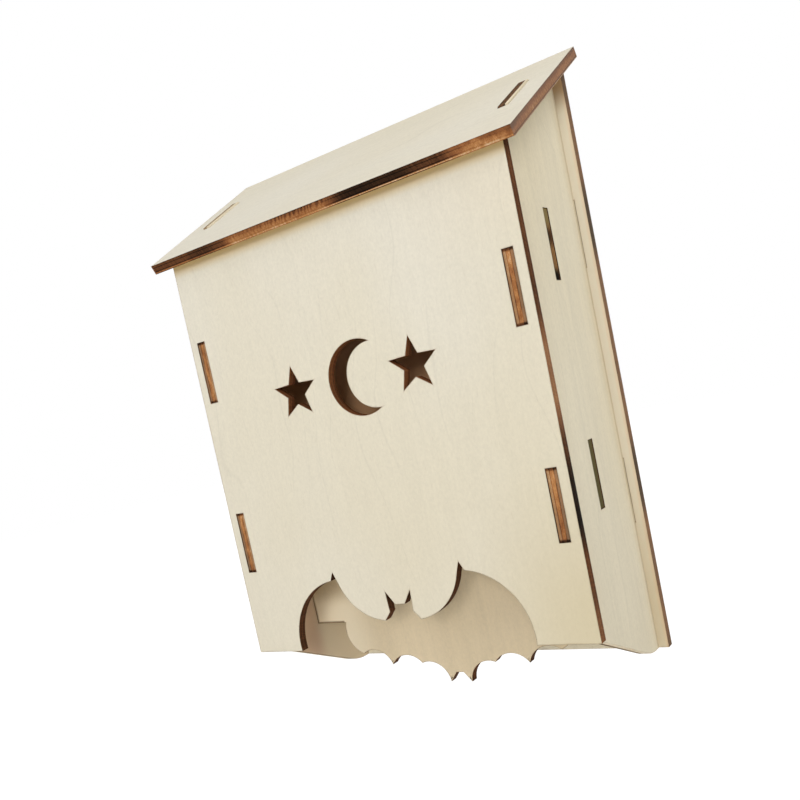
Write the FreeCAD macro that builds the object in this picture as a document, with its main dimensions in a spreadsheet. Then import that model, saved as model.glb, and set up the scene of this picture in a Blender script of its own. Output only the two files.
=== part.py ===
import FreeCAD, Part
import math
import os

import Sketcher

# A wall-hung bat box of laser-cut plywood: six boards that slot together with tabs.
# +X is to the right of someone facing the front, +Y points into the wall and +Z is up.
# The origin lies on the wall face, on the centre line, level with the front board's lower edge.

doc = FreeCAD.newDocument("bat_box")
sheet = doc.addObject("Spreadsheet::Sheet", "Sizes")

# Driving dimensions: name, value in millimetres (degrees for slopes, plain for ratios), meaning.
DIMENSIONS = [
    ("board", 3.0, "thickness of the plywood"),
    ("panel_width", 120.0, "width of the front and back boards"),
    ("front_height", 130.0, "height of the front board"),
    ("chamber", 21.5, "clear depth of each roosting chamber"),
    ("side_inset", 3.1, "from the front board's edge to the side board's outer face"),
    ("landing_drop", 18.0, "how far the back board reaches below the front board"),
    ("foot_flat", 6.5, "level stretch at the rear of a side board's lower edge"),
    ("foot_radius", 22.0, "rounding where that lower edge turns level"),
    ("roof_angle", 28.3, "pitch of the roof, in degrees"),
    ("roof_width", 129.5, "width of the roof board"),
    ("roof_overhang", 3.4, "reach of the roof's lower edge in front of the front board"),
    ("tab_length", 19.6, "length of every tab"),
    ("fit_gap", 0.1, "clearance round a tab in its slot, on each side"),
    ("tab_setback", 0.2, "how far a tab's end stays behind the face it comes out of"),
    ("roof_tab_proud", 0.4, "how far the roof tabs stand above the roof"),
    ("front_tab_low", 37.2, "height of the lower front tabs' centres"),
    ("front_tab_high", 93.9, "height of the upper front tabs' centres"),
    ("inner_tab_low", 40.6, "height of the partition's lower tabs' centres"),
    ("inner_tab_high", 105.2, "height of the partition's upper tabs' centres"),
    ("rear_tab_low", 31.4, "height of the lower rear tabs' centres"),
    ("rear_tab_high", 108.9, "height of the upper rear tabs' centres"),
    ("roof_tab_place", 32.0, "from the roof's lower edge up the slope to its tabs' centres"),
    ("partition_foot", 1.7, "height of the straight lower edge of the partition"),
    ("passage", 15.0, "gap over the partition, under the roof"),
    ("hanging_hole", 6.0, "diameter of the hanging hole"),
    ("hanging_height", 138.0, "height of the hanging hole's centre"),
    ("wing_reach", 41.6, "half span of the bat at the front board's lower edge"),
    ("wrist_place", 22.6, "distance of a wing's wrist from the centre line"),
    ("wrist_height", 22.2, "height of a wing's wrist"),
    ("thumb_length", 2.6, "length of the claw at the wrist"),
    ("shoulder_place", 6.4, "distance of a shoulder from the centre line"),
    ("shoulder_height", 8.8, "height of a shoulder"),
    ("cheek_place", 4.1, "half width of the head"),
    ("cheek_height", 11.4, "height of the head's widest place"),
    ("ear_place", 4.4, "distance of an ear's tip from the centre line"),
    ("ear_height", 17.6, "height of an ear's tip"),
    ("brow_place", 1.7, "distance of an ear's inner root from the centre line"),
    ("brow_height", 13.6, "height of an ear's inner root"),
    ("outer_finger_place", 36.6, "distance of the outer finger's tip from the centre line"),
    ("outer_finger_drop", 9.6, "depth of the outer finger's tip below the front board"),
    ("middle_finger_place", 25.4, "distance of the middle finger's tip from the centre line"),
    ("middle_finger_drop", 13.6, "depth of the middle finger's tip"),
    ("inner_finger_place", 13.6, "distance of the inner finger's tip from the centre line"),
    ("inner_finger_drop", 13.2, "depth of the inner finger's tip"),
    ("foot_place", 3.9, "distance of a foot's tip from the centre line"),
    ("foot_drop", 19.6, "depth of a foot's tip"),
    ("web_ratio", 0.62, "radius of the scallops between fingers, as a share of their width"),
    ("wing_ratio", 0.72, "radius of the wing's outer edge, as a share of its chord"),
    ("arm_ratio", 0.9, "radius of the arm's upper edge, as a share of its chord"),
    ("motif_height", 81.0, "height of the moon's and the stars' centres"),
    ("moon_radius", 11.0, "outer radius of the moon"),
    ("moon_shift", 5.2, "from the moon's outer centre to its inner arc's centre"),
    ("moon_hollow", 9.6, "radius of the moon's inner arc"),
    ("star_place", 21.4, "distance of a star's centre from the centre line"),
    ("star_radius", 8.0, "radius to a star's points"),
    ("star_waist", 3.4, "radius to a star's inner corners"),
]
STAR_POINTS = 5


class Size:
    """A length worked out from the sheet: its formula for the document and its value for drawing."""

    def __init__(self, formula, value):
        self.formula = formula
        self.value = value

    def __add__(self, other):
        other = size_of(other)
        return Size(f"({self.formula} + {other.formula})", self.value + other.value)

    def __sub__(self, other):
        other = size_of(other)
        return Size(f"({self.formula} - {other.formula})", self.value - other.value)

    def __mul__(self, other):
        other = size_of(other)
        return Size(f"({self.formula} * {other.formula})", self.value * other.value)

    def __truediv__(self, other):
        other = size_of(other)
        return Size(f"({self.formula} / {other.formula})", self.value / other.value)

    def __rsub__(self, other):
        return size_of(other) - self

    def __neg__(self):
        return Size(f"(0 - {self.formula})", -self.value)

    __radd__ = __add__
    __rmul__ = __mul__


def size_of(number):
    """Takes a plain number in as a size."""
    return number if isinstance(number, Size) else Size(repr(float(number)), float(number))


def sine(angle):
    return Size(f"sin({angle.formula})", math.sin(math.radians(angle.value)))


def cosine(angle):
    return Size(f"cos({angle.formula})", math.cos(math.radians(angle.value)))


def tangent(angle):
    return Size(f"tan({angle.formula})", math.tan(math.radians(angle.value)))


def slope_angle(rise, run):
    return Size(f"atan({rise.formula} / {run.formula})", math.degrees(math.atan(rise.value / run.value)))


def distance(first, second):
    across = second[0] - first[0]
    up = second[1] - first[1]
    square = across * across + up * up
    return Size(f"sqrt({square.formula})", math.sqrt(square.value))


def fill_sheet():
    """Writes the driving dimensions to the sheet and hands them back as sizes by name."""
    sizes = {}
    for row, (name, value, meaning) in enumerate(DIMENSIONS, start=1):
        sheet.set(f"A{row}", meaning)
        sheet.set(f"B{row}", str(value))
        sheet.setAlias(f"B{row}", name)
        sizes[name] = Size(f"Sizes.{name}", value)
    doc.recompute()
    return sizes


S = fill_sheet()
ZERO = Size("0", 0.0)
HALF = S["panel_width"] / 2
BOARD = S["board"]
GAP = S["fit_gap"]

# Places along Y, from the wall forwards.
BACK_FRONT = -BOARD
PARTITION_REAR = BACK_FRONT - S["chamber"]
PARTITION_FRONT = PARTITION_REAR - BOARD
FRONT_REAR = PARTITION_FRONT - S["chamber"]
FRONT_FACE = FRONT_REAR - BOARD

# Places along X of the right side board; the left one mirrors it.
SIDE_OUTER = HALF - S["side_inset"]
SIDE_INNER = SIDE_OUTER - BOARD

# Heights.
LOWEST = -S["landing_drop"]
PITCH = S["roof_angle"]


def under_roof(place):
    """Height of the roof's underside at a place along Y."""
    return S["front_height"] + (place - FRONT_FACE) * tangent(PITCH)


ROOF_EDGE = FRONT_FACE - S["roof_overhang"]
# The roof's rear lower edge ends in the wall's plane.
ROOF_LENGTH = -ROOF_EDGE / cosine(PITCH)


def on_slope(along, above):
    """Point in a side board's outline, from a distance up the roof's slope and one square to it."""
    place = ROOF_EDGE + along * cosine(PITCH) - above * sine(PITCH)
    height = under_roof(ROOF_EDGE) + along * sine(PITCH) + above * cosine(PITCH)
    return place, height


class Bend:
    """An edge that is an arc: its radius, and whether it turns left or right of its chord."""

    def __init__(self, radius, side):
        self.radius = radius
        self.side = side


def share_bend(first, second, share, side):
    """Arc between two corners whose radius is a share of the distance between them."""
    return Bend(distance(first, second) * share, side)


def arc_between(start, end, bend):
    """Arc of under half a circle. Side 1 bulges to the right of the way from start to end."""
    chord = end - start
    middle = start + chord * 0.5
    left = FreeCAD.Vector(-chord.y, chord.x, 0)
    left.normalize()
    radius = bend.radius.value
    depth = math.sqrt(radius * radius - chord.Length * chord.Length / 4)
    centre = middle + left * (depth * bend.side)
    circle = Part.Circle(centre, FreeCAD.Vector(0, 0, 1), radius)
    first = math.atan2(start.y - centre.y, start.x - centre.x)
    last = math.atan2(end.y - centre.y, end.x - centre.x)
    if bend.side < 0:
        first, last = last, first
    return Part.ArcOfCircle(circle, first, last)


def tie(sketch, kind, handle, size):
    """Holds one coordinate of a point at its size from the sketch's origin."""
    if size is ZERO:
        axis = -2 if kind == "DistanceX" else -1
        sketch.addConstraint(Sketcher.Constraint("PointOnObject", handle[0], handle[1], axis))
        return
    index = sketch.addConstraint(Sketcher.Constraint(kind, -1, 1, handle[0], handle[1], size.value))
    sketch.setExpression(f"Constraints[{index}]", size.formula)


def draw(sketch, corners, bends=None):
    """Draws a closed outline through its corners, with an arc after each corner that has a bend."""
    bends = bends or {}
    points = [FreeCAD.Vector(x.value, y.value, 0) for x, y in corners]
    count = len(points)
    handles = []
    for i in range(count):
        start = points[i]
        end = points[(i + 1) % count]
        if i in bends:
            edge = sketch.addGeometry(arc_between(start, end, bends[i]))
            radius = sketch.addConstraint(Sketcher.Constraint("Radius", edge, bends[i].radius.value))
            sketch.setExpression(f"Constraints[{radius}]", bends[i].radius.formula)
            turned = bends[i].side < 0
            handles.append(((edge, 2), (edge, 1)) if turned else ((edge, 1), (edge, 2)))
        else:
            edge = sketch.addGeometry(Part.LineSegment(start, end))
            handles.append(((edge, 1), (edge, 2)))
    for i in range(count):
        last = handles[i - 1][1]
        first = handles[i][0]
        sketch.addConstraint(Sketcher.Constraint("Coincident", last[0], last[1], first[0], first[1]))
    for i, (x, y) in enumerate(corners):
        tie(sketch, "DistanceX", handles[i][0], x)
        tie(sketch, "DistanceY", handles[i][0], y)


def box_corners(low_x, high_x, low_y, high_y):
    return [(low_x, low_y), (high_x, low_y), (high_x, high_y), (low_x, high_y)]


def plane_of(body, role):
    return next(item for item in body.Origin.OriginFeatures if item.Role == role)


def new_sketch(body, role, name):
    sketch = body.newObject("Sketcher::SketchObject", name)
    sketch.AttachmentSupport = [(plane_of(body, role), "")]
    sketch.MapMode = "FlatFace"
    return sketch


def new_board(name, role, corners, bends=None):
    """A board cut to an outline: a body with one sketch padded by the plywood's thickness."""
    body = doc.addObject("PartDesign::Body", name)
    body.Label = name
    sketch = new_sketch(body, role, f"{name}_outline")
    draw(sketch, corners, bends)
    pad = body.newObject("PartDesign::Pad", f"{name}_pad")
    pad.Profile = sketch
    pad.setExpression("Length", BOARD.formula)
    doc.recompute()
    return body


def pocket_through(body, sketch, name):
    """Cuts a sketch's outlines right through a board, and makes sure that wood went."""
    before = body.Shape.Volume
    pocket = body.newObject("PartDesign::Pocket", name)
    pocket.Profile = sketch
    pocket.Type = "ThroughAll"
    pocket.Midplane = True
    doc.recompute()
    if not body.Shape.Volume < before:
        raise RuntimeError(f"{name} cut nothing")


def cut(body, role, name, outlines):
    """Cuts straight and arched outlines through a board."""
    sketch = new_sketch(body, role, f"{name}_outline")
    for corners, bends in outlines:
        draw(sketch, corners, bends)
    pocket_through(body, sketch, name)


def drill(body, role, name, diameter, height):
    """Drills a round hole through a board on its centre line."""
    sketch = new_sketch(body, role, f"{name}_outline")
    centre = FreeCAD.Vector(0, height.value, 0)
    circle = sketch.addGeometry(Part.Circle(centre, FreeCAD.Vector(0, 0, 1), diameter.value / 2))
    tie(sketch, "DistanceX", (circle, 3), ZERO)
    tie(sketch, "DistanceY", (circle, 3), height)
    width = sketch.addConstraint(Sketcher.Constraint("Diameter", circle, diameter.value))
    sketch.setExpression(f"Constraints[{width}]", diameter.formula)
    pocket_through(body, sketch, name)


def move_to(body, axis, size):
    body.setExpression(f".Placement.Base.{axis}", size.formula)


def tab_span(centre):
    half = S["tab_length"] / 2
    return centre - half, centre + half


def slot_span(centre):
    half = S["tab_length"] / 2 + GAP
    return centre - half, centre + half


def side_slots(centres):
    """Slots for both side boards' tabs, at the given heights, as outlines."""
    outlines = []
    for centre in centres:
        low, high = slot_span(centre)
        inner = SIDE_INNER - GAP
        outer = SIDE_OUTER + GAP
        outlines.append((box_corners(inner, outer, low, high), None))
        outlines.append((box_corners(-outer, -inner, low, high), None))
    return outlines


def mirrored(corners, bends):
    """Adds the left half to an outline's right half, which runs from the bottom to the top."""
    left = [(-x, y) for x, y in reversed(corners)]
    count = len(corners)
    both = dict(bends)
    for index, bend in bends.items():
        both[2 * count - 2 - index] = bend
    return corners + left, both


def bat_upper():
    """Upper half of the bat, cut upwards from the front board's lower edge."""
    end = (S["wing_reach"], -BOARD)
    tip = (S["wing_reach"], ZERO)
    wrist = (S["wrist_place"] + S["thumb_length"] / 2, S["wrist_height"])
    thumb = (S["wrist_place"], S["wrist_height"] + S["thumb_length"])
    crook = (S["wrist_place"] - S["thumb_length"] / 2, S["wrist_height"] - S["thumb_length"] / 3)
    shoulder = (S["shoulder_place"], S["shoulder_height"])
    cheek = (S["cheek_place"], S["cheek_height"])
    ear = (S["ear_place"], S["ear_height"])
    brow = (S["brow_place"], S["brow_height"])
    corners = [end, tip, wrist, thumb, crook, shoulder, cheek, ear, brow]
    bends = {
        1: share_bend(tip, wrist, S["wing_ratio"], 1),
        4: share_bend(crook, shoulder, S["arm_ratio"], -1),
    }
    return mirrored(corners, bends)


def partition_outline():
    """The partition: tabs at both sides and the bat's lower half hanging from its lower edge."""
    step = (S["wing_reach"], S["partition_foot"])
    outer = (S["outer_finger_place"], -S["outer_finger_drop"])
    middle = (S["middle_finger_place"], -S["middle_finger_drop"])
    inner = (S["inner_finger_place"], -S["inner_finger_drop"])
    foot = (S["foot_place"], -S["foot_drop"])
    tail = (S["foot_place"] / 3, -(S["foot_drop"] + S["inner_finger_drop"]) / 2)
    top = under_roof(PARTITION_FRONT) - S["passage"]
    end = SIDE_OUTER - S["tab_setback"]
    edge = [(SIDE_INNER, top)]
    for centre in (S["inner_tab_high"], S["inner_tab_low"]):
        low, high = tab_span(centre)
        edge += [(SIDE_INNER, high), (end, high), (end, low), (SIDE_INNER, low)]
    edge.append((SIDE_INNER, S["partition_foot"]))
    first = len(edge)
    corners = edge + [step, outer, middle, inner, foot, tail]
    bends = {
        first: share_bend(step, outer, S["wing_ratio"], -1),
        first + 1: share_bend(outer, middle, S["web_ratio"], 1),
        first + 2: share_bend(middle, inner, S["web_ratio"], 1),
        first + 3: share_bend(inner, foot, S["web_ratio"], 1),
    }
    return mirrored(corners, bends)


def moon():
    """Crescent open to the right, between its two points."""
    outer = S["moon_radius"]
    hollow = S["moon_hollow"]
    shift = S["moon_shift"]
    across = (outer * outer - hollow * hollow + shift * shift) / (shift * 2)
    up_square = outer * outer - across * across
    up = Size(f"sqrt({up_square.formula})", math.sqrt(up_square.value))
    start = (outer - across) / 2
    top = (start + across, S["motif_height"] + up)
    back = (start - outer, S["motif_height"])
    low = (start + across, S["motif_height"] - up)
    belly = (start + shift - hollow, S["motif_height"])
    corners = [top, back, low, belly]
    bends = {0: Bend(outer, 1), 1: Bend(outer, 1), 2: Bend(hollow, -1), 3: Bend(hollow, -1)}
    return corners, bends


def star(centre):
    """Five-pointed star, one point up."""
    corners = []
    for i in range(2 * STAR_POINTS):
        angle = math.pi / 2 + i * math.pi / STAR_POINTS
        radius = S["star_radius"] if i % 2 == 0 else S["star_waist"]
        corners.append((centre + radius * math.cos(angle), S["motif_height"] + radius * math.sin(angle)))
    return corners, None


def make_front_panel():
    body = new_board("front_panel", "XZ_Plane", box_corners(-HALF, HALF, ZERO, S["front_height"]))
    cut(body, "XZ_Plane", "front_slots", side_slots((S["front_tab_low"], S["front_tab_high"])))
    cut(body, "XZ_Plane", "bat_opening", [bat_upper()])
    cut(body, "XZ_Plane", "night_sky", [moon(), star(-S["star_place"]), star(S["star_place"])])
    move_to(body, "y", FRONT_REAR)
    return body


def make_back_panel():
    top = under_roof(BACK_FRONT)
    body = new_board("back_panel", "XZ_Plane", box_corners(-HALF, HALF, LOWEST, top))
    cut(body, "XZ_Plane", "back_slots", side_slots((S["rear_tab_low"], S["rear_tab_high"])))
    drill(body, "XZ_Plane", "hanging_hole", S["hanging_hole"], S["hanging_height"])
    move_to(body, "y", ZERO)
    return body


def side_corners():
    """Outline of a side board in Y and Z, from the front's lower corner round to the rear's."""
    front_end = FRONT_FACE + S["tab_setback"]
    rear_end = -S["tab_setback"]
    corners = [(FRONT_REAR, ZERO)]
    for centre in (S["front_tab_low"], S["front_tab_high"]):
        low, high = tab_span(centre)
        corners += [(FRONT_REAR, low), (front_end, low), (front_end, high), (FRONT_REAR, high)]
    corners.append((FRONT_REAR, under_roof(FRONT_REAR)))
    low, high = tab_span(S["roof_tab_place"])
    proud = BOARD + S["roof_tab_proud"]
    corners += [on_slope(low, ZERO), on_slope(low, proud), on_slope(high, proud), on_slope(high, ZERO)]
    corners.append((BACK_FRONT, under_roof(BACK_FRONT)))
    for centre in (S["rear_tab_high"], S["rear_tab_low"]):
        low, high = tab_span(centre)
        corners += [(BACK_FRONT, high), (rear_end, high), (rear_end, low), (BACK_FRONT, low)]
    corners.append((BACK_FRONT, LOWEST))
    turn = BACK_FRONT - S["foot_flat"]
    slant = slope_angle(S["landing_drop"], turn - FRONT_REAR)
    reach = S["foot_radius"] * tangent(slant / 2)
    corners.append((turn + reach, LOWEST))
    corners.append((turn - reach * cosine(slant), LOWEST + reach * sine(slant)))
    bends = {len(corners) - 2: Bend(S["foot_radius"], -1)}
    return corners, bends


def make_side_panel(name, inner_to_outer):
    corners, bends = side_corners()
    body = new_board(name, "YZ_Plane", corners, bends)
    front = PARTITION_FRONT - GAP
    rear = PARTITION_REAR + GAP
    outlines = []
    for centre in (S["inner_tab_low"], S["inner_tab_high"]):
        low, high = slot_span(centre)
        outlines.append((box_corners(front, rear, low, high), None))
    cut(body, "YZ_Plane", f"{name}_slots", outlines)
    move_to(body, "x", inner_to_outer)
    return body


def make_inner_partition():
    corners, bends = partition_outline()
    body = new_board("inner_partition", "XZ_Plane", corners, bends)
    move_to(body, "y", PARTITION_REAR)
    return body


def make_roof_panel():
    half = S["roof_width"] / 2
    body = new_board("roof_panel", "XY_Plane", box_corners(-half, half, ZERO, ROOF_LENGTH))
    low, high = slot_span(S["roof_tab_place"])
    inner = SIDE_INNER - GAP
    outer = SIDE_OUTER + GAP
    right = (box_corners(inner, outer, low, high), None)
    left = (box_corners(-outer, -inner, low, high), None)
    cut(body, "XY_Plane", "roof_slots", [left, right])
    body.Placement = FreeCAD.Placement(FreeCAD.Vector(0, 0, 0), FreeCAD.Rotation(FreeCAD.Vector(1, 0, 0), 0))
    body.setExpression(".Placement.Rotation.Angle", PITCH.formula)
    move_to(body, "y", ROOF_EDGE)
    move_to(body, "z", under_roof(ROOF_EDGE))
    return body


def check_document():
    for item in doc.Objects:
        if "Invalid" in item.State or "Error" in item.State:
            raise RuntimeError(f"{item.Name} failed: {item.State}")


def export(bodies):
    os.makedirs("parts", exist_ok=True)
    for body in bodies:
        shape = body.Shape
        if shape.isNull() or not shape.isValid():
            raise RuntimeError(f"{body.Label} has no valid shape")
    for body in bodies:
        body.Shape.exportStep(f"parts/{body.Label}.step")
        box = body.Shape.BoundBox
        print(f"{body.Label}: {body.Shape.Volume:.0f} mm3, x {box.XMin:.2f} {box.XMax:.2f}, "
              f"y {box.YMin:.2f} {box.YMax:.2f}, z {box.ZMin:.2f} {box.ZMax:.2f}")


boards = [
    make_front_panel(),
    make_back_panel(),
    make_side_panel("left_side_panel", -SIDE_OUTER),
    make_side_panel("right_side_panel", SIDE_INNER),
    make_inner_partition(),
    make_roof_panel(),
]
doc.recompute()
check_document()
export(boards)
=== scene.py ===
"""Looks of the bat box: laser-cut plywood boards in soft studio light."""
import math
from collections import namedtuple

import bmesh
import bpy
import numpy as np
from mathutils import Matrix, Vector


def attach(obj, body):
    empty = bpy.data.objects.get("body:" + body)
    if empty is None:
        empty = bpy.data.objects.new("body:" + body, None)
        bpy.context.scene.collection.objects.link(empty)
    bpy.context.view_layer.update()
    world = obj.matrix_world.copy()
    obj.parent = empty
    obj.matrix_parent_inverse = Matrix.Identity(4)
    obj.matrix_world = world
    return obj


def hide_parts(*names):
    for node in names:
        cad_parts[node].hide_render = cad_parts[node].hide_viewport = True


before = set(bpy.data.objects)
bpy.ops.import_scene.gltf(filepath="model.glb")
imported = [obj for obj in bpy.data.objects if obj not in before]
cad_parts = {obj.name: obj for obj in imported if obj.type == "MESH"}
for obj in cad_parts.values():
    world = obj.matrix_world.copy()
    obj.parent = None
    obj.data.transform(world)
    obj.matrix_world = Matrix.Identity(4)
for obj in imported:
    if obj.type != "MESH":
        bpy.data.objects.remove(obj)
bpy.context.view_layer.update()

MM = 0.001
PER_METRE = 1000.0

# The camera, in metres, degrees and pixels of an 800 pixel square picture.
IMAGE = 800.0
FILM = 36.0
CAMERA_PLACE = (0.1514, -0.2636, 0.0709)
CAMERA_AZIMUTH = 34.93
CAMERA_DROP = 4.62
CAMERA_ROLL = 12.06
FOCAL_PIXELS = 895.6
CENTRE_PIXELS = (384.2, 482.2)

# The lamps in metres and watts: name, place, size and power. All point at the middle of the box.
LAMP_TARGET = (0, -0.026, 0.07)
LAMPS = [
    ("key", (0.66, -1.46, 0.42), 0.42, 8.9),
    ("left_fill", (-0.55, -1.1, 0.85), 0.9, 4.9),
    ("right_fill", (1.1, -0.3, 0.8), 0.9, 8.4),
    ("top_fill", (-0.2, -0.5, 1.3), 0.9, 2.1),
    ("low_fill", (-0.12, -0.2, -0.29), 0.4, 0.15),
    ("back_fill", (0.0, 1.3, 0.1), 0.25, 6.0),
]

# The room's own light.
WORLD_LEVEL = 0.18
WORLD_TINT = (1.0, 0.985, 0.96, 1.0)

# The floor, in metres.
FLOOR_HEIGHT = -0.32
FLOOR_REACH = 6.0

# The floor's white glow, as the camera sees it: its strength, its share near the box, and the distances in
# millimetres between which it takes over from the paper.
FLOOR_WHITE = 1.11
FLOOR_GLOW = 0.85
FLOOR_FADE = (300.0, 1200.0)
PAPER = (0.9, 0.9, 0.9, 1)
WHITE = (1, 1, 1, 1)

# Sizes of the cut, in millimetres, and the angles that tell its edges, in degrees.
EDGE_ROUNDING = 0.06
SCORCH_REACH = 0.7
MERGE_DISTANCE = 0.001
FLAT_ANGLE = 0.3
ARRIS_ANGLE = 25
SHARP_ANGLE = 20

# The least that a broad face's normal shares with the board's.
BROAD = 0.999

# The meshes' attributes and material places.
CUT_EDGE = "cut_edge"
CUT_RUN = "cut_run"
FACE_MATERIAL = 0
EDGE_MATERIAL = 1

# How far the grain wanders and ripples, in millimetres.
GRAIN_WANDER = 9.0
GRAIN_RIPPLE = 0.9

# Growth rings for each millimetre across the board, and how far a ring wanders, in rings.
RING_RATE = 0.11
RING_WANDER = 4.6

# How far apart the boards' shares of the veneer lie, across and along the grain, in millimetres.
SHARE_ACROSS = 170.0
SHARE_ALONG = 230.0

# How strongly its marks shade the veneer, and how much of the pores' and the smoke's tones it takes.
FIBRE_SHADE = 0.05
MOTTLE_SHADE = 0.17
RING_SHADE = 0.05
PORE_SHARE = 0.12
SMOKE_SHARE = 0.34

# How far the glue lines lie from the middle, as a share of half a board's thickness.
GLUE_LINE = 0.42

# What each mark adds to the burn of a cut edge, where 0 is bare wood and 1 is char.
DRIFT_CHAR = 0.36
STROKE_CHAR = 0.40
GRIT_CHAR = 0.30
GLUE_CHAR = 0.20
ARRIS_CHAR = 0.18

# Heights of the middles of the front board's slots and of the char beside the back board's, and the slots'
# half length, in millimetres.
FRONT_SLOTS = (37.2, 93.9)
BACK_CHAR = (34.4, 111.9)
SLOT_HALF = 9.9

# The partition's straight foot, in millimetres: its height, and how far from the middle it begins.
FOOT_HEIGHT = 1.7
WING_REACH = 41.6

# The scale of the wave that sets the teeth of char 1.4 mm apart.
TOOTH_SCALE = 0.224

# The places of a Mix node's two colours and of its mixed colour, whose names other sockets have too.
MIX_FIRST = 6
MIX_SECOND = 7
MIX_COLOUR = 2

UPRIGHT = (0, 0, 1)
SIDEWAYS = (1, 0, 0)
FORWARD = (0, -1, 0)
LEFTWARD = (-1, 0, 0)


def reach(node):
    """The lowest and the highest corner of a board's box, in millimetres."""
    places = [vertex.co * PER_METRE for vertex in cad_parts[node].data.vertices]
    return [Vector([pick(axis) for axis in zip(*places)]) for pick in (min, max)]


# Where the boards' faces lie, in millimetres.
FRONT_LOW, FRONT_HIGH = reach("front_panel")
SIDE_LOW, SIDE_HIGH = reach("right_side_panel")
PARTITION_FACE = reach("inner_partition")[0].y
BACK_FACE = reach("back_panel")[0].y
ROOF_SIDE = reach("roof_panel")[1].x


# Tones


def tone(red, green, blue):
    """A colour from display values of 0 to 255."""
    linear = []
    for part in (red, green, blue):
        share = part / 255
        linear.append(share / 12.92 if share <= 0.04045 else ((share + 0.055) / 1.055) ** 2.4)
    return (*linear, 1.0)


# The veneers, each with a pale and a warm tone, and their marks.
PALE = tone(230, 224, 208)
WARM = tone(227, 219, 198)
SIDE_PALE = tone(228, 219, 195)
SIDE_WARM = tone(224, 212, 183)
# The partition's two tones are darker and warmer than the other veneers: painted shade of the inside of the
# box.
SHADED_INNER_PALE = tone(223, 205, 172)
SHADED_INNER_WARM = tone(214, 194, 156)
# The back board's pale tone is brighter than the wood's own: painted light.
LIT_BACK_PALE = tone(240, 228, 198)
PORE = tone(176, 156, 132)
SMOKE = tone(158, 118, 74)

# The ash on the cut edges.
GREY_ASH = tone(122, 112, 96)
OLIVE_ASH = tone(126, 115, 76)
PALE_ASH = tone(156, 142, 114)
ROSE_ASH = tone(150, 124, 108)

# The burn's tones, from 0 for wood that the laser barely browned to 1 for char.
SINGED = [
    (0.00, tone(228, 214, 186)),
    (0.08, tone(214, 184, 146)),
    (0.20, tone(192, 136, 84)),
    (0.38, tone(150, 96, 58)),
    (0.58, tone(108, 68, 43)),
    (0.78, tone(64, 42, 27)),
    (1.00, tone(24, 18, 13)),
]


# Shaders


class Value:
    """A shader socket that takes part in Python arithmetic, adding its Math nodes as it goes."""

    def __init__(self, shader, socket):
        self.shader = shader
        self.socket = socket

    def _math(self, operation, *terms):
        node = self.shader.make("ShaderNodeMath", {"operation": operation}, *terms)
        return Value(self.shader, node.outputs[0])

    def __add__(self, other):
        return self._math("ADD", self, other)

    def __sub__(self, other):
        return self._math("SUBTRACT", self, other)

    def __mul__(self, other):
        return self._math("MULTIPLY", self, other)

    def __truediv__(self, other):
        return self._math("DIVIDE", self, other)

    def __pow__(self, other):
        return self._math("POWER", self, other)

    def __rsub__(self, other):
        return self._math("SUBTRACT", other, self)

    def __neg__(self):
        return self._math("MULTIPLY", self, -1.0)

    def __abs__(self):
        return self._math("ABSOLUTE", self)

    __radd__ = __add__
    __rmul__ = __mul__

    def fraction(self):
        return self._math("FRACT", self)

    def lowest(self, other):
        return self._math("MINIMUM", self, other)

    def highest(self, other):
        return self._math("MAXIMUM", self, other)


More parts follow.
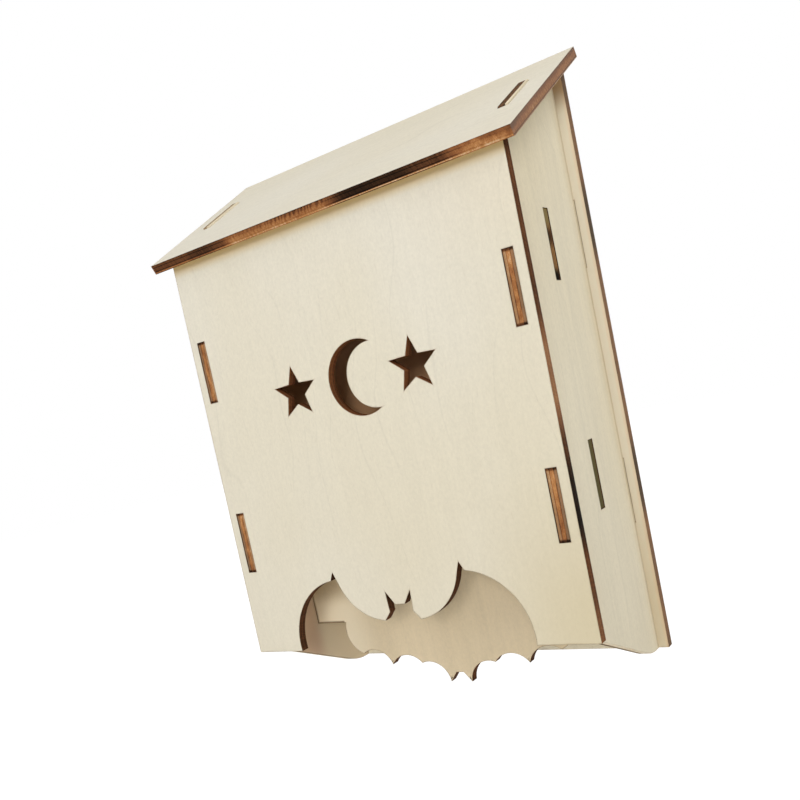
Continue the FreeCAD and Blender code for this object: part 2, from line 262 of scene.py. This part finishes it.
class Shader:
    """A node tree, with the few forms that the finishes here are made of."""

    def __init__(self, owner):
        owner.use_nodes = True
        self.tree = owner.node_tree
        self.tree.nodes.clear()

    def feed(self, socket, source):
        """Links a value or another socket to a socket, or sets the socket's own number or colour."""
        if isinstance(source, Value):
            source = source.socket
        if isinstance(source, bpy.types.NodeSocket):
            self.tree.links.new(source, socket)
        else:
            socket.default_value = source

    def make(self, kind, settings=None, *first, **named):
        """Adds a node: its settings, then what feeds its first sockets and those that are named."""
        node = self.tree.nodes.new(kind)
        for name, setting in (settings or {}).items():
            setattr(node, name, setting)
        for place, source in enumerate(first):
            self.feed(node.inputs[place], source)
        for name, source in named.items():
            self.feed(node.inputs[name.replace("_", " ")], source)
        return node

    def value(self, kind, settings=None, *first, **named):
        """The same, handing back the node's first output as a value."""
        return Value(self, self.make(kind, settings, *first, **named).outputs[0])

    def mix(self, share, first, second):
        """Mixes two colours."""
        node = self.make("ShaderNodeMix", {"data_type": "RGBA"}, share)
        self.feed(node.inputs[MIX_FIRST], first)
        self.feed(node.inputs[MIX_SECOND], second)
        return Value(self, node.outputs[MIX_COLOUR])

    def brighten(self, colour, factor):
        """Multiplies a colour by a value that varies."""
        return self.value("ShaderNodeVectorMath", {"operation": "SCALE"}, colour, Scale=factor)

    def rise(self, value, low, high):
        """Rises smoothly from 0 to 1 between two levels."""
        return self.value("ShaderNodeMapRange", {"interpolation_type": "SMOOTHSTEP"}, value, low, high)

    def fall(self, value, low, high):
        """Falls smoothly from 1 to 0 between two levels."""
        return 1.0 - self.rise(value, low, high)

    def band(self, value, low, high, soft):
        """1 between two levels and 0 outside them."""
        return self.rise(value, low - soft, low + soft) * self.fall(value, high - soft, high + soft)

    def ramp(self, value, stops):
        """A colour from a value, through stops of a place and a colour."""
        node = self.make("ShaderNodeValToRGB", None, value)
        elements = node.color_ramp.elements
        while len(elements) < len(stops):
            elements.new(1.0)
        for element, (place, colour) in zip(elements, stops):
            element.position = place
            element.color = colour
        return Value(self, node.outputs[0])

    def attribute(self, name):
        node = self.make("ShaderNodeAttribute", {"attribute_name": name, "attribute_type": "GEOMETRY"})
        return Value(self, node.outputs["Fac"])

    def stretch(self, x, y, z):
        """A vector from three values."""
        return self.value("ShaderNodeCombineXYZ", None, x, y, z)

    def noise(self, vector, detail=2.0, roughness=0.5):
        return self.value("ShaderNodeTexNoise", {"noise_dimensions": "3D"}, Vector=vector, Scale=1.0,
                          Detail=detail, Roughness=roughness)

    def split(self, vector):
        node = self.make("ShaderNodeSeparateXYZ", None, vector)
        return [Value(self, output) for output in node.outputs]


class Board:
    """What a board's finish follows: its grain, its plies and its place."""

    def __init__(self, node, outward, grain, seed):
        self.node = node
        self.grain = Vector(grain)
        self.seed = seed
        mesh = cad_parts[node].data
        widest = max(mesh.polygons, key=lambda polygon: polygon.area)
        self.normal = widest.normal.normalized()
        if self.normal.dot(Vector(outward)) < 0:
            self.normal.negate()
        self.across = self.normal.cross(self.grain)
        depths = [vertex.co.dot(self.normal) for vertex in mesh.vertices]
        self.thickness = max(depths) - min(depths)
        self.middle = self.normal * ((max(depths) + min(depths)) / 2)

    def is_broad(self, face):
        return abs(face.normal.dot(self.normal)) > BROAD

    def coordinates(self, shader):
        """Across, through and along the grain in millimetres, with through counted from the middle ply."""
        source = shader.make("ShaderNodeTexCoord").outputs["Object"]
        turn = Matrix((self.across, self.normal, self.grain))
        own_share = Vector((self.seed * SHARE_ACROSS, 0, self.seed * SHARE_ALONG))
        node = shader.make("ShaderNodeMapping", {"vector_type": "POINT"}, Vector=source,
                           Location=turn @ self.middle * -PER_METRE + own_share,
                           Rotation=turn.to_euler(), Scale=(PER_METRE,) * 3)
        return shader.split(node.outputs[0])


# A place in the frame, in millimetres.
Place = namedtuple("Place", "x y z")


def frame_place(shader):
    """The place that is shaded."""
    source = shader.make("ShaderNodeTexCoord").outputs["Object"]
    return Place(*[part * PER_METRE for part in shader.split(source)])


# Finishes


def figure(shader, across, through, along):
    """The veneer's figure: its fibres, its streaks, its pores and the few long lines of its growth rings."""
    wander = shader.noise(shader.stretch(across * 0.02, through * 0.02, along * 0.012), detail=1.0) - 0.5
    ripple = shader.noise(shader.stretch(across * 0.25, through * 0.1, along * 0.07), detail=1.0) - 0.5
    line = across + wander * GRAIN_WANDER + ripple * GRAIN_RIPPLE
    fibres = shader.noise(shader.stretch(line * 2.6, through, along * 0.09), detail=3.0, roughness=0.65)
    streaks = shader.noise(shader.stretch(line * 0.42, through, along * 0.016), detail=3.0, roughness=0.55)
    pores = shader.noise(shader.stretch(line * 3.2, through + 40.0, along * 0.32), detail=1.0)
    swell = shader.noise(shader.stretch(across * 0.03, through * 0.02 + 9.0, along * 0.015), detail=1.0)
    swell = across * RING_RATE + swell * RING_WANDER
    rings = abs(swell.fraction() - 0.5)
    patches = shader.noise(shader.stretch(across * 0.05, through * 0.02, along * 0.018), detail=1.0)
    rings = shader.fall(rings, 0.0, 0.045) * shader.rise(patches, 0.40, 0.62)
    return fibres, streaks, pores, rings


# What sets a board's finish apart: the two tones of its veneer, the tint of some places, mostly painted light
# and shade, or None, how streaky it is, how its cut edges are burnt, and the tone of the ash on them.
Finish = namedtuple("Finish", "pale warm tint streaky burn ash")


def veneer(board, finish):
    """A broad face: pale rotary-cut veneer, with a trace of smoke along its cut edges."""
    material = bpy.data.materials.new(f"{board.node}_veneer")
    shader = Shader(material)
    across, through, along = board.coordinates(shader)
    fibres, streaks, pores, rings = figure(shader, across, through, along)
    cloud = shader.noise(shader.stretch(across * 0.013, through * 0.02, along * 0.009), detail=2.0)
    mottle = shader.noise(shader.stretch(across * 1.5, through, along * 1.1), detail=2.0, roughness=0.6)
    body = shader.mix(shader.rise(cloud, 0.32, 0.68), finish.pale, finish.warm)
    shade = (fibres - 0.5) * FIBRE_SHADE + (mottle - 0.5) * MOTTLE_SHADE - rings * RING_SHADE + 1.0
    shade = shade + (streaks - 0.5) * finish.streaky
    body = shader.brighten(body, shade)
    ticks = shader.rise(pores, 0.66, 0.78) * PORE_SHARE
    body = shader.mix(ticks, body, PORE)
    # The tint paints light and shade onto some places.
    if finish.tint:
        share, colour = finish.tint(shader, frame_place(shader))
        body = shader.mix(share, body, colour)
    near = shader.attribute(CUT_EDGE)
    uneven = shader.noise(shader.stretch(across * 0.22, through, along * 0.22), detail=3.0)
    smoke = shader.rise(near + (uneven - 0.5) * 0.9, 0.4, 1.2) * SMOKE_SHARE
    body = shader.mix(smoke, body, SMOKE)
    roughness = (fibres - 0.5) * 0.12 + 0.72
    height = fibres * 0.6 + streaks * 0.4 - ticks * 2.0
    bump = shader.make("ShaderNodeBump", None, Height=height, Strength=0.18, Distance=0.0001)
    finish_surface(shader, body, roughness, bump, 0.2)
    return material


# A place on a cut edge: where it is in the frame, how far along the cut, how deep in the plies from -1 at the
# inner face to 1 at the outer one, and whether it lies in the outer or in the inner ply.
Cut = namedtuple("Cut", "x y z run depth outer inner")

# How it is burnt: from 0 for bare wood to 1 for char, with a share of ash, and how far the slow drift, the
# laser's strokes and the glue lines show.
Burn = namedtuple("Burn", "char ash drift strokes glue", defaults=(1.0, 1.0, 1.0))


def burnt_edge(board, finish):
    """A cut edge: three plies between dark glue lines, browned and charred by the laser."""
    material = bpy.data.materials.new(f"{board.node}_cut_edge")
    shader = Shader(material)
    across, through, along = board.coordinates(shader)
    run = shader.split(shader.value("ShaderNodeUVMap", {"uv_map": CUT_RUN}))[0]
    depth = through / (board.thickness * PER_METRE / 2)
    lean = run + through * 0.3
    strokes = shader.noise(shader.stretch(lean * 1.3, through * 0.14, 0.0), detail=3.0, roughness=0.6)
    drift = shader.noise(shader.stretch(across * 0.07, 0.0, along * 0.07), detail=2.0)
    grit = shader.noise(shader.stretch(run * 3.0, through * 3.0, 0.0), detail=2.0)
    glue = shader.fall(abs(abs(depth) - GLUE_LINE), 0.03, 0.12)
    arris = shader.rise(abs(depth), 0.86, 0.98)
    outer = shader.rise(depth, GLUE_LINE, GLUE_LINE + 0.1)
    inner = shader.rise(-depth, GLUE_LINE, GLUE_LINE + 0.1)
    burn = finish.burn(shader, Cut(*frame_place(shader), run, depth, outer, inner))
    char = (drift - 0.5) * DRIFT_CHAR * burn.drift + (strokes - 0.5) * STROKE_CHAR * burn.strokes
    char = char + (grit - 0.5) * GRIT_CHAR + glue * GLUE_CHAR * burn.glue + arris * ARRIS_CHAR + burn.char
    body = shader.mix(burn.ash, shader.ramp(char, SINGED), finish.ash)
    roughness = 0.85 - char * 0.1
    height = strokes * 0.8 + grit * 0.3 - glue * 0.5
    bump = shader.make("ShaderNodeBump", None, Height=height, Strength=0.45, Distance=0.00015)
    finish_surface(shader, body, roughness, bump, 0.02)
    return material


def finish_surface(shader, colour, roughness, bump, gloss):
    surface = shader.make("ShaderNodeBsdfPrincipled", None, Base_Color=colour, Roughness=roughness,
                          Normal=bump.outputs[0])
    surface.inputs["Specular IOR Level"].default_value = gloss
    shader.make("ShaderNodeOutputMaterial", None, Surface=surface.outputs[0])


# Tints of the broad faces, mostly painted light and shade: each gives its share and its colour


def front_painted_shade(shader, place):
    """Painted shade: warmer and darker downwards and to the right, most of all at the lower right, for the
    light's falloff, and a tan band under the roof's edge, a painted shadow of its overhang.
    """
    # Painted shade of the light's falloff towards the foot and the lower right.
    low = shader.fall(place.z, -10.0, 90.0)
    corner = shader.rise(place.x, 5.0, 60.0) * shader.fall(place.z, 5.0, 75.0)
    right = shader.rise(place.x, 5.0, 58.0)
    # A warm painted shadow of the roof's overhang.
    roof_shadow = shader.rise(place.z, FRONT_HIGH.z - 5.4, FRONT_HIGH.z - 0.6)
    colour = shader.mix(shader.rise(place.z, 100.0, 120.0), tone(202, 184, 138), tone(216, 184, 122))
    return (low * 0.2 + right * 0.1).highest(corner * 0.6).highest(roof_shadow * 0.9), colour


def back_tint(shader, place):
    """The strips beside the side boards, duller towards the foot and browned where the roof meets them, as
    painted shade under the roof with some smoke.
    """
    from_middle = abs(place.x)
    strip = shader.rise(from_middle, SIDE_HIGH.x - 0.4, SIDE_HIGH.x + 0.1)
    strip = strip * shader.fall(place.y, BACK_FACE + 0.6, BACK_FACE + 1.2)
    colour = shader.mix(shader.rise(place.z, -8.0, 50.0), tone(206, 192, 163), tone(220, 211, 190))
    rim = shader.rise(from_middle, FRONT_HIGH.x - 1.3, FRONT_HIGH.x - 0.3)
    colour = shader.mix(rim * 0.3, colour, tone(222, 180, 132))
    # Painted shade under the roof, with some smoke, at the strips' top.
    top = shader.rise(place.z, 143.0, 152.0)
    return strip, shader.mix(top * 0.8, colour, tone(160, 120, 74))


def height_in_roof(place):
    """How far a place lies above the roof's underside, square to it."""
    return (place.z - FRONT_HIGH.z) * ROOF.normal.z + (place.y - FRONT_LOW.y) * ROOF.normal.y


def side_tint(shader, place):
    """The inner faces are painted browner, as shade inside the box: pinkish and darker before the partition
    and greener and lighter behind it, as painted shade and light. The outer ones darken towards the foot, and
    along the joint with the back board, as painted shade of that corner."""
    # Painted shade of the inside of the box on the inner faces.
    inside = shader.fall(abs(place.x), SIDE_LOW.x + 0.6, SIDE_LOW.x + 2.1)
    inside = inside * shader.fall(height_in_roof(place), 2.4, 2.8)
    # Painted shade in the corner where the side meets the back board.
    joint = shader.rise(place.y, BACK_FACE - 6.0, BACK_FACE - 1.6) * 0.16
    joint = joint + shader.rise(place.y, BACK_FACE - 1.6, BACK_FACE - 0.9) * 0.34
    low = shader.fall(place.z, -10.0, 70.0)
    # Painted shade before the partition and painted light behind it.
    behind = shader.rise(place.y, PARTITION_FACE - 3.5, PARTITION_FACE + 3.5)
    inner = shader.mix(behind, tone(208, 178, 148), tone(226, 206, 172))
    return inside.highest(joint).highest(low * 0.1), shader.mix(inside, tone(160, 138, 96), inner)


def partition_painted_light_and_shade(shader, place):
    """Browned higher up, behind the ornament, as painted shade inside the box, paler at its lower left as
    painted light, and dark along its straight foot and where it meets the side boards, there as painted shade
    of the corners."""
    from_middle = abs(place.x)
    # Painted shade of the inside of the box, higher up.
    high = shader.rise(place.z, 30.0, 62.0)
    # Painted light at the lower left.
    left = shader.fall(place.x, -42.0, -26.0) * shader.fall(place.z, 7.0, 14.0)
    foot = shader.fall(place.z, FOOT_HEIGHT + 0.2, FOOT_HEIGHT + 0.9)
    foot = foot * shader.rise(from_middle, WING_REACH + 0.2, WING_REACH + 0.8)
    # Dark along the foot, and painted shade of the corners where the side boards meet it.
    rim = foot.highest(shader.rise(from_middle, SIDE_LOW.x - 1.1, SIDE_LOW.x - 0.2))
    colour = shader.mix(shader.rise(place.z, 18.0, 26.0), tone(250, 236, 206), tone(190, 136, 94))
    colour = shader.mix(rim, colour, tone(106, 82, 56))
    return (high * 0.8).highest(left * 0.85).highest(rim * 0.6), colour


# Burns of the cut edges: 0 is bare wood and 1 is char


def near_slots(shader, height, middles, half=SLOT_HALF, soft=5.0):
    """1 beside a board's two slots."""
    lower, upper = [shader.band(height, middle - half, middle + half, soft) for middle in middles]
    return lower + upper


def front_burn(shader, cut):
    """The side walls are blackest beside the lower slot, palest above it and paler again towards the foot.
    The ornament's walls are paler than the bat's."""
    outside = shader.rise(abs(cut.x), FRONT_HIGH.x - 3.0, FRONT_HIGH.x - 1.0)
    lower = shader.band(cut.z, 27.0, 47.0, 5.0)
    bare = shader.band(cut.z, 58.0, 82.0, 7.0)
    foot = shader.fall(cut.z, 5.0, 19.0)
    ornament = shader.band(cut.z, 45.0, 95.0, 3.0) * (1.0 - outside)
    char = 0.69 + (lower * 0.33 - bare * 0.32 - foot * 0.14 - 0.05) * outside - ornament * 0.2
    return Burn(char, ash=(bare * 0.28 + foot * 0.12) * outside, strokes=0.7)


def back_burn(shader, cut):
    """Brown under a thin ash, and darker beside the slots, at the top, as painted shade under the roof, and
    at the very foot.
    """
    # Painted shade of the roof on the edge's top.
    top = shader.rise(cut.z, 144.0, 150.0)
    slots = near_slots(shader, cut.z, BACK_CHAR)
    foot = shader.fall(cut.z, -17.0, -13.0)
    return Burn(0.38 + slots * 0.36 + top * 0.2 + foot * 0.1, ash=0.5 - slots * 0.15)


def side_burn(shader, cut):
    """The tabs' front ends are pale between black tips, the partition's slots have dark walls, and the
    slanted foot is bare along its outer arris and dark inside. In the roof's slots the right tab is dark
    inside a bare outer ply, and the left one bare inside an olive one."""
    in_roof = shader.rise(height_in_roof(cut), 2.6, 3.1)
    slots = shader.band(cut.y, PARTITION_FACE - 1.0, PARTITION_FACE + 4.0, 0.5) * (1.0 - in_roof)
    top = shader.rise(cut.z, 126.0, 134.0)
    foot = shader.fall(cut.z, 2.0, 14.0)
    slant = shader.fall(cut.z, -1.0, 0.5)
    charred = slant * shader.fall(cut.depth, -0.25, 0.15)
    rearward = shader.rise(cut.y, -48.0, -20.0) * charred
    ends = shader.fall(cut.y, FRONT_LOW.y + 1.0, FRONT_LOW.y + 2.0)
    tips = ends * (1.0 - near_slots(shader, cut.z, FRONT_SLOTS, SLOT_HALF - 0.7, 0.3))
    right = shader.rise(cut.x, -10.0, 10.0)
    dark = in_roof * right * (1.0 - cut.outer)
    olive = in_roof * (1.0 - right) * shader.rise(cut.depth, -0.3, 0.1)
    bare = in_roof - dark - olive
    blots = shader.noise(shader.stretch(cut.run * 0.35, cut.depth * 1.5, 5.0), detail=2.0) - 0.5
    char = 0.30 + (top + foot) * 0.30 + slots * 0.4 - bare * 1.1 + dark * 0.06 - olive * 0.35 + tips * 0.4
    char = char - slant * 1.1 + charred * 1.3 - rearward * 0.3 + (ends * 0.5 + dark * 0.8) * blots
    char = char + ends * (cut.outer * 0.14 - cut.inner * 0.04)
    ash = (charred * 0.4 + rearward * 0.25).highest(dark * 0.1).highest(olive * 0.8)
    ash = ash.highest((ends - tips) * (cut.outer + cut.inner) * 0.34)
    calm = 1.0 - in_roof * 0.6
    return Burn(char, ash, drift=calm, strokes=(1.0 - ends * 0.8) * calm, glue=1.0 + ends * blots * 3.0)


def partition_burn(shader, cut):
    """The upper tabs' ends are olive, red-brown, tan and black downwards, and the lower ones a dark olive."""
    ends = shader.rise(abs(cut.x), SIDE_LOW.x - 0.9, SIDE_LOW.x + 0.1)
    upper = shader.rise(cut.z, 60.0, 70.0)
    olive = shader.rise(cut.z, 108.5, 112.5)
    red = shader.band(cut.z, 105.0, 109.5, 1.8)
    tip = shader.fall(cut.z, 96.6, 99.4)
    tab = upper * (red * 0.34 + tip * 0.65 - olive * 0.1) + (1.0 - upper) * 0.54
    char = 0.46 + (1.0 - ends) * 0.16 + ends * (tab + cut.outer * 0.12 - cut.inner * 0.1)
    ash = ends * (upper * (olive * 0.5 + 0.34 - red * 0.3) * (1.0 - tip) + (1.0 - upper) * 0.48)
    return Burn(char, ash, strokes=1.0 - ends * 0.7)


def toothed_char(shader, cut):
    """Teeth of char that hang from a cut edge's upper arris."""
    wander = shader.noise(shader.stretch(cut.run * 0.22, 0.0, 11.0), detail=1.0)
    lean = cut.run - cut.depth * 0.7 + wander * 5.0
    teeth = shader.value("ShaderNodeTexWave", {"bands_direction": "X"},
                         Vector=shader.stretch(lean, cut.depth * 0.4, 0.0),
                         Scale=TOOTH_SCALE, Distortion=3.0, Detail=2.0, Detail_Scale=1.2)
    length = shader.noise(shader.stretch(cut.run * 0.6, 0.0, 7.0), detail=2.0)
    return shader.rise(cut.depth + teeth * length * 2.4, 0.5, 1.9)


def roof_burn(shader, cut):
    """The front edge is dark brown at the left, then toothed with char, then black, and blotched at the
    right, with a pale line low along it. The side edges are mottled. The left slot has pale walls, the right
    one dark ones."""
    outside = shader.rise(abs(cut.x), ROOF_SIDE - 0.45, ROOF_SIDE - 0.15)
    front = shader.fall(cut.y, FRONT_LOW.y - 2.5, FRONT_LOW.y - 1.0) * (1.0 - outside)
    left = shader.fall(cut.x, -34.0, -29.0)
    black = shader.band(cut.x, 9.0, 47.5, 5.0) * (1.0 - shader.rise(cut.x, 30.0, 38.0) * 0.3)
    middle = (1.0 - left) * shader.fall(cut.x, 4.0, 10.0)
    right = shader.rise(cut.x, 46.0, 54.0)
    toothed = toothed_char(shader, cut) * (0.08 + shader.rise(cut.x, -22.0, -6.0) * 0.18)
    blots = shader.noise(shader.stretch(cut.run * 0.5, cut.depth * 0.8, 3.0), detail=2.0) - 0.5
    specks = shader.noise(shader.stretch(cut.run * 1.1, cut.depth * 1.6, 1.0), detail=3.0) - 0.5
    line = shader.band(cut.depth, -0.86, -0.62, 0.05)
    arris = shader.rise(cut.depth, 0.7, 0.95)
    upward = shader.rise(cut.depth, -0.4, 0.9)
    char = 0.27 + left * (0.33 + shader.band(cut.x, -50.0, -38.0, 4.0) * 0.1) + black * 0.62
    char = char + middle * (toothed + upward * 0.1 + arris * 0.1)
    char = char + right * (blots * 0.5 + upward * 0.2 + shader.rise(cut.x, 60.0, 64.0) * 0.06)
    char = char - line * (0.1 + left * 0.2 + black * 0.62)
    slots = (1.0 - outside) * shader.fall(cut.y, BACK_FACE - 5.0, BACK_FACE - 1.0)
    slots = slots * (0.26 - 0.86 * shader.fall(cut.x, -10.0, 10.0) + blots * 0.5)
    edging = upward * 0.2 + arris * 0.2 + specks * 0.6 + shader.band(cut.depth, -0.84, -0.62, 0.05) * 0.5
    edging = edging - shader.fall(cut.depth, -0.9, -0.84) * 0.3
    corner = shader.fall(cut.y, FRONT_LOW.y - 3.5, FRONT_LOW.y + 2.0) * upward
    sides = 0.36 + cut.outer * 0.06 + outside * (edging + corner * 0.2 - 0.05)
    return Burn(char * front + (sides + slots) * (1.0 - front), ash=(1.0 - front) * (0.2 + outside * 0.28),
                strokes=1.0 - right * front * 0.5, glue=1.0 - (middle + outside + right).lowest(1.0) * 0.75)


# Boards


def cut_runs(work, board):
    """The straight runs of a board's outlines: start, direction, length, and distance along the cut."""
    rims = [edge for edge in work.edges
            if sum(face.normal.dot(board.normal) > BROAD for face in edge.link_faces) == 1]
    waiting = dict.fromkeys(rims)
    runs = []
    for edge in rims:
        if edge not in waiting:
            continue
        vertex, distance = edge.verts[0], 0.0
        while edge:
            del waiting[edge]
            far = edge.other_vert(vertex)
            span = far.co - vertex.co
            runs.append((*vertex.co, *span.normalized(), span.length, distance))
            distance += span.length
            vertex = far
            edge = next((other for other in far.link_edges if other in waiting), None)
    return np.array(runs)


def lay_out_cuts(work, board, runs):
    """Gives the cut edges a map that runs along the cut, in millimetres, for the laser's strokes."""
    layer = work.loops.layers.uv.new(CUT_RUN)
    starts, directions, lengths, distances = runs[:, 0:3], runs[:, 3:6], runs[:, 6], runs[:, 7]
    normal = np.array(board.normal)
    for face in work.faces:
        middle = np.array(face.calc_center_median())
        steps = ((middle - starts) * directions).sum(axis=1).clip(0, lengths)
        gaps = middle - starts - directions * steps[:, None]
        gaps -= np.outer(gaps @ normal, normal)
        nearest = int((gaps ** 2).sum(axis=1).argmin())
        start, direction = Vector(starts[nearest]), Vector(directions[nearest])
        for loop in face.loops:
            along = distances[nearest] + (loop.vert.co - start).dot(direction)
            loop[layer].uv = (along * PER_METRE, loop.vert.co.dot(board.normal) * PER_METRE)


def soften_arrises(work):
    arrises = [edge for edge in work.edges if edge.calc_face_angle(0.0) > math.radians(ARRIS_ANGLE)]
    bmesh.ops.bevel(work, geom=arrises, offset=EDGE_ROUNDING * MM, offset_type="OFFSET", segments=2,
                    profile=0.5, affect="EDGES", clamp_overlap=True)


def mark_cuts(work, board):
    """Adds a ring beside each cut edge that takes the smoke, and tells the cut edges from the broad faces."""
    broad = [face for face in work.faces if board.is_broad(face)]
    bmesh.ops.inset_region(work, faces=broad, thickness=SCORCH_REACH * MM, use_boundary=True,
                           use_even_offset=True)
    layer = work.verts.layers.float.new(CUT_EDGE)
    for vertex in work.verts:
        vertex[layer] = 0.0 if all(board.is_broad(face) for face in vertex.link_faces) else 1.0
    for face in work.faces:
        broad_face = board.is_broad(face)
        face.material_index = FACE_MATERIAL if broad_face else EDGE_MATERIAL
        face.smooth = not broad_face


def dressed_board(board, materials):
    """The board's finished mesh, made from its CAD mesh."""
    work = bmesh.new()
    work.from_mesh(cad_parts[board.node].data)
    bmesh.ops.remove_doubles(work, verts=work.verts, dist=MERGE_DISTANCE * MM)
    bmesh.ops.dissolve_limit(work, angle_limit=math.radians(FLAT_ANGLE), verts=work.verts, edges=work.edges)
    runs = cut_runs(work, board)
    soften_arrises(work)
    mark_cuts(work, board)
    lay_out_cuts(work, board, runs)
    bmesh.ops.triangulate(work, faces=work.faces)
    mesh = bpy.data.meshes.new(f"{board.node}_board")
    work.to_mesh(mesh)
    work.free()
    mesh.set_sharp_from_angle(angle=math.radians(SHARP_ANGLE))
    for material in materials:
        mesh.materials.append(material)
    piece = bpy.data.objects.new(f"{board.node}_board", mesh)
    bpy.context.scene.collection.objects.link(piece)
    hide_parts(board.node)
    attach(piece, "root")


FRONT = Board("front_panel", FORWARD, UPRIGHT, 1)
BACK = Board("back_panel", FORWARD, UPRIGHT, 2)
LEFT_SIDE = Board("left_side_panel", LEFTWARD, UPRIGHT, 3)
RIGHT_SIDE = Board("right_side_panel", SIDEWAYS, UPRIGHT, 4)
PARTITION = Board("inner_partition", FORWARD, UPRIGHT, 5)
ROOF = Board("roof_panel", UPRIGHT, SIDEWAYS, 6)

SIDE_FINISH = Finish(SIDE_PALE, SIDE_WARM, side_tint, 0.17, side_burn, PALE_ASH)
FINISHES = [
    (FRONT, Finish(PALE, WARM, front_painted_shade, 0.065, front_burn, GREY_ASH)),
    (BACK, Finish(LIT_BACK_PALE, SIDE_PALE, back_tint, 0.1, back_burn, GREY_ASH)),
    (LEFT_SIDE, SIDE_FINISH),
    (RIGHT_SIDE, SIDE_FINISH),
    (PARTITION, Finish(SHADED_INNER_PALE, SHADED_INNER_WARM, partition_painted_light_and_shade, 0.15, partition_burn, OLIVE_ASH)),
    (ROOF, Finish(PALE, WARM, None, 0.06, roof_burn, ROSE_ASH)),
]
for board, finish in FINISHES:
    dressed_board(board, [veneer(board, finish), burnt_edge(board, finish)])


# Stage


def add_camera():
    azimuth = math.radians(CAMERA_AZIMUTH)
    drop = math.radians(CAMERA_DROP)
    level_reach = math.cos(drop)
    forward = Vector((-math.sin(azimuth) * level_reach, math.cos(azimuth) * level_reach, -math.sin(drop)))
    level = forward.cross(Vector(UPRIGHT)).normalized()
    upright = level.cross(forward)
    roll = math.radians(CAMERA_ROLL)
    right = level * math.cos(roll) - upright * math.sin(roll)
    above = right.cross(forward)
    data = bpy.data.cameras.new("camera")
    data.sensor_width = FILM
    data.lens = FOCAL_PIXELS / IMAGE * FILM
    data.shift_x = (IMAGE / 2 - CENTRE_PIXELS[0]) / IMAGE
    data.shift_y = (CENTRE_PIXELS[1] - IMAGE / 2) / IMAGE
    data.clip_start = 0.01
    camera = bpy.data.objects.new("camera", data)
    turn = Matrix((right, above, -forward)).transposed().to_4x4()
    camera.matrix_world = Matrix.Translation(CAMERA_PLACE) @ turn
    bpy.context.scene.collection.objects.link(camera)
    bpy.context.scene.camera = camera


def add_lamp(name, place, size, watts):
    data = bpy.data.lights.new(name, "AREA")
    data.shape = "SQUARE"
    data.size = size
    data.energy = watts
    lamp = bpy.data.objects.new(name, data)
    lamp.location = place
    lamp.rotation_euler = (Vector(LAMP_TARGET) - Vector(place)).to_track_quat("-Z", "Y").to_euler()
    bpy.context.scene.collection.objects.link(lamp)


def seen_directly(shader):
    """1 for the rays that show the background: the camera's own and those in gloss and glass."""
    path = shader.make("ShaderNodeLightPath")
    names = ("Is Camera Ray", "Is Glossy Ray", "Is Transmission Ray")
    camera, glossy, through = [Value(shader, path.outputs[name]) for name in names]
    return camera.highest(glossy).highest(through)


def add_world():
    """The room's soft light, and white wherever the background is seen."""
    world = bpy.data.worlds.new("studio")
    bpy.context.scene.world = world
    shader = Shader(world)
    room = shader.make("ShaderNodeBackground", None, Color=WORLD_TINT, Strength=WORLD_LEVEL)
    white = shader.make("ShaderNodeBackground", None, Color=WHITE, Strength=1.0)
    both = shader.make("ShaderNodeMixShader", None, seen_directly(shader), room.outputs[0], white.outputs[0])
    shader.make("ShaderNodeOutputWorld", None, Surface=both.outputs[0])


def add_floor():
    """A pale floor that gives back light as paper does and looks near white."""
    material = bpy.data.materials.new("floor")
    shader = Shader(material)
    paper = shader.make("ShaderNodeBsdfDiffuse", None, Color=PAPER)
    glow = shader.make("ShaderNodeEmission", None, Color=WHITE, Strength=FLOOR_WHITE)
    place = frame_place(shader)
    far = shader.rise((place.x * place.x + place.y * place.y) ** 0.5, *FLOOR_FADE)
    share = seen_directly(shader) * (FLOOR_GLOW + far * (1.0 - FLOOR_GLOW))
    both = shader.make("ShaderNodeMixShader", None, share, paper.outputs[0], glow.outputs[0])
    shader.make("ShaderNodeOutputMaterial", None, Surface=both.outputs[0])
    signs = ((-1, -1), (1, -1), (1, 1), (-1, 1))
    corners = [(FLOOR_REACH * x, FLOOR_REACH * y, FLOOR_HEIGHT) for x, y in signs]
    mesh = bpy.data.meshes.new("floor")
    mesh.from_pydata(corners, [], [(0, 1, 2, 3)])
    mesh.materials.append(material)
    floor = bpy.data.objects.new("floor", mesh)
    bpy.context.scene.collection.objects.link(floor)


add_camera()
add_world()
add_floor()
for lamp in LAMPS:
    add_lamp(*lamp)
bpy.context.scene.view_settings.view_transform = "Standard"
